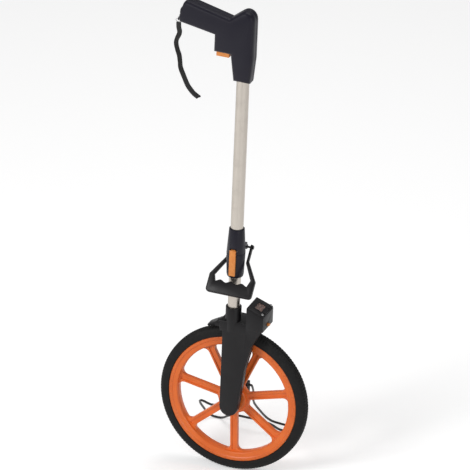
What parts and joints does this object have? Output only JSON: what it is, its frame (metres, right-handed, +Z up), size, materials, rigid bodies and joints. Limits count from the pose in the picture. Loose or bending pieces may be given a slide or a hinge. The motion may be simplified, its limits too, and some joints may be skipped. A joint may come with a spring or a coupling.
{
  "type": "measuring wheel",
  "caption": "Folding measuring wheel: spoked wheel with rubber tyre, single-sided fork, drum counter, pistol grip with trigger, carry handle and wire kickstand.",
  "frame": {"origin": "the tyre's contact with the ground, under the far edge of the tread", "axes": "+X the rolling direction, +Y away from the fork leg towards the kickstand, +Z up; the wheel leans 5.8 degrees towards +Y on its kickstand"},
  "size_m": [0.3184, 0.1908, 1.0453],
  "materials": {
    "black_plastic": "fine moulded texture",
    "navy_plastic": "fine moulded texture, navy tint",
    "orange_plastic": "satin moulded",
    "pale_orange_plastic": "satin moulded",
    "tyre_rubber": "matt rubber, fine tread",
    "rubber": "matt rubber",
    "aluminium_tube": "satin anodised",
    "steel": "bright zinc plate",
    "blackened_steel": "blackened",
    "black_wire": "black powder coat",
    "bush_brass": "plain turned",
    "drum_plastic": "moulded, cream",
    "smoked_window": "clear, warm smoked",
    "webbing": "woven nylon"
  },
  "bodies": {
    "frame": {"fork_leg": "black_plastic", "leg_cover": "black_plastic", "leg_screw_1": "steel", "leg_screw_2": "steel", "leg_screw_3": "steel", "leg_screw_4": "steel", "axle": "steel", "axle_washer": "steel", "axle_nut": "steel", "stand_bracket": "black_plastic", "drive_belt": "rubber", "counter_lid": "black_plastic", "counter_window": "smoked_window", "lid_screw_1": "steel", "lid_screw_2": "steel", "reset_pin": "steel", "lower_tube": "aluminium_tube", "lower_joint": "navy_plastic", "hinge_pin": "blackened_steel"},
    "wheel": {"tyre": "tyre_rubber", "wheel_rim": "orange_plastic", "bush_far": "bush_brass", "bush_near": "bush_brass", "hub_pulley": "black_plastic"},
    "counter_train": {"counter_shaft": "steel", "counter_pulley": "black_plastic", "digit_drum_1": "drum_plastic"},
    "second_drum": {"digit_drum_2": "drum_plastic"},
    "third_drum": {"digit_drum_3": "drum_plastic"},
    "fourth_drum": {"digit_drum_4": "drum_plastic"},
    "fifth_drum": {"digit_drum_5": "drum_plastic"},
    "reset": {"reset_lever": "pale_orange_plastic"},
    "brake": {"lower_rod": "steel", "brake_shoe": "black_plastic", "brake_pad": "rubber"},
    "pole": {"upper_joint": "navy_plastic", "upper_tube": "aluminium_tube", "latch_pin": "steel", "grip_near": "navy_plastic", "grip_far": "navy_plastic", "grip_screw_1": "steel", "grip_screw_2": "steel", "grip_screw_3": "steel", "trigger_pin": "steel"},
    "latch": {"latch_lever": "pale_orange_plastic"},
    "bail": {"carry_handle": "black_plastic"},
    "trigger": {"trigger": "pale_orange_plastic"},
    "push_rod": {"upper_rod": "steel"},
    "stand": {"kickstand": "black_wire"},
    "strap": {"strap_ring": "steel", "wrist_strap": "webbing"}
  },
  "joints": [
    {"name": "wheel_spin", "type": "hinge", "parent": "frame", "child": "wheel", "pos_m": [0, 0.00862, 0.1591], "axis": [0, 0.9949, -0.1011], "continuous": true},
    {"name": "first_drum_spin", "type": "hinge", "parent": "frame", "child": "counter_train", "pos_m": [0.0475, 0.02853, 0.35509], "axis": [0, 0.9949, -0.1011], "continuous": true},
    {"name": "second_drum_spin", "type": "hinge", "parent": "frame", "child": "second_drum", "pos_m": [0.0475, 0.02853, 0.35509], "axis": [0, 0.9949, -0.1011], "continuous": true},
    {"name": "third_drum_spin", "type": "hinge", "parent": "frame", "child": "third_drum", "pos_m": [0.0475, 0.02853, 0.35509], "axis": [0, 0.9949, -0.1011], "continuous": true},
    {"name": "fourth_drum_spin", "type": "hinge", "parent": "frame", "child": "fourth_drum", "pos_m": [0.0475, 0.02853, 0.35509], "axis": [0, 0.9949, -0.1011], "continuous": true},
    {"name": "fifth_drum_spin", "type": "hinge", "parent": "frame", "child": "fifth_drum", "pos_m": [0.0475, 0.02853, 0.35509], "axis": [0, 0.9949, -0.1011], "continuous": true},
    {"name": "reset_press", "type": "hinge", "parent": "frame", "child": "reset", "pos_m": [0.064, 0.01536, 0.34416], "axis": [0, 0.9949, -0.1011], "range_deg": [0, 12], "stiffness_Nm_per_rad": 0.02, "springref_deg": -5.73},
    {"name": "brake_push", "type": "slide", "parent": "frame", "child": "brake", "axis": [0, -0.1011, -0.9949], "range_m": [0, 0.0035]},
    {"name": "pole_fold", "type": "hinge", "parent": "frame", "child": "pole", "pos_m": [0, 0.04766, 0.49889], "axis": [-1, 0, 0], "range_deg": [0, 150]},
    {"name": "latch_open", "type": "hinge", "parent": "pole", "child": "latch", "pos_m": [0, 0.00241, 0.51153], "axis": [-1, 0, 0], "range_deg": [0, 35]},
    {"name": "bail_swing", "type": "hinge", "parent": "frame", "child": "bail", "pos_m": [0, 0.04766, 0.49889], "axis": [1, 0, 0], "range_deg": [-85, 0]},
    {"name": "trigger_pull", "type": "hinge", "parent": "pole", "child": "trigger", "pos_m": [-0.02, 0.06315, 0.95315], "axis": [0, 0.9949, -0.1011], "range_deg": [0, 8.5], "stiffness_Nm_per_rad": 1.5, "springref_deg": -11.46},
    {"name": "rod_push", "type": "slide", "parent": "pole", "child": "push_rod", "axis": [0, -0.1011, -0.9949], "range_m": [0, 0.0035]},
    {"name": "stand_fold", "type": "hinge", "parent": "frame", "child": "stand", "pos_m": [0, 0.03651, 0.17637], "axis": [1, 0, 0], "range_deg": [0, 125]},
    {"name": "strap_swing", "type": "hinge", "parent": "pole", "child": "strap", "pos_m": [-0.144, 0.06735, 0.99454], "axis": [1, 0, 0], "range_deg": [-40, 40]}
  ],
  "couplings": [
    {"joint": "first_drum_spin", "follows": "wheel_spin", "ratio": 1},
    {"joint": "second_drum_spin", "follows": "wheel_spin", "ratio": 0.1},
    {"joint": "third_drum_spin", "follows": "wheel_spin", "ratio": 0.01},
    {"joint": "fourth_drum_spin", "follows": "wheel_spin", "ratio": 0.001},
    {"joint": "fifth_drum_spin", "follows": "wheel_spin", "ratio": 0.0001},
    {"joint": "rod_push", "follows": "trigger_pull", "m_per_rad": 0.0235},
    {"joint": "brake_push", "follows": "trigger_pull", "m_per_rad": 0.0235}
  ]
}
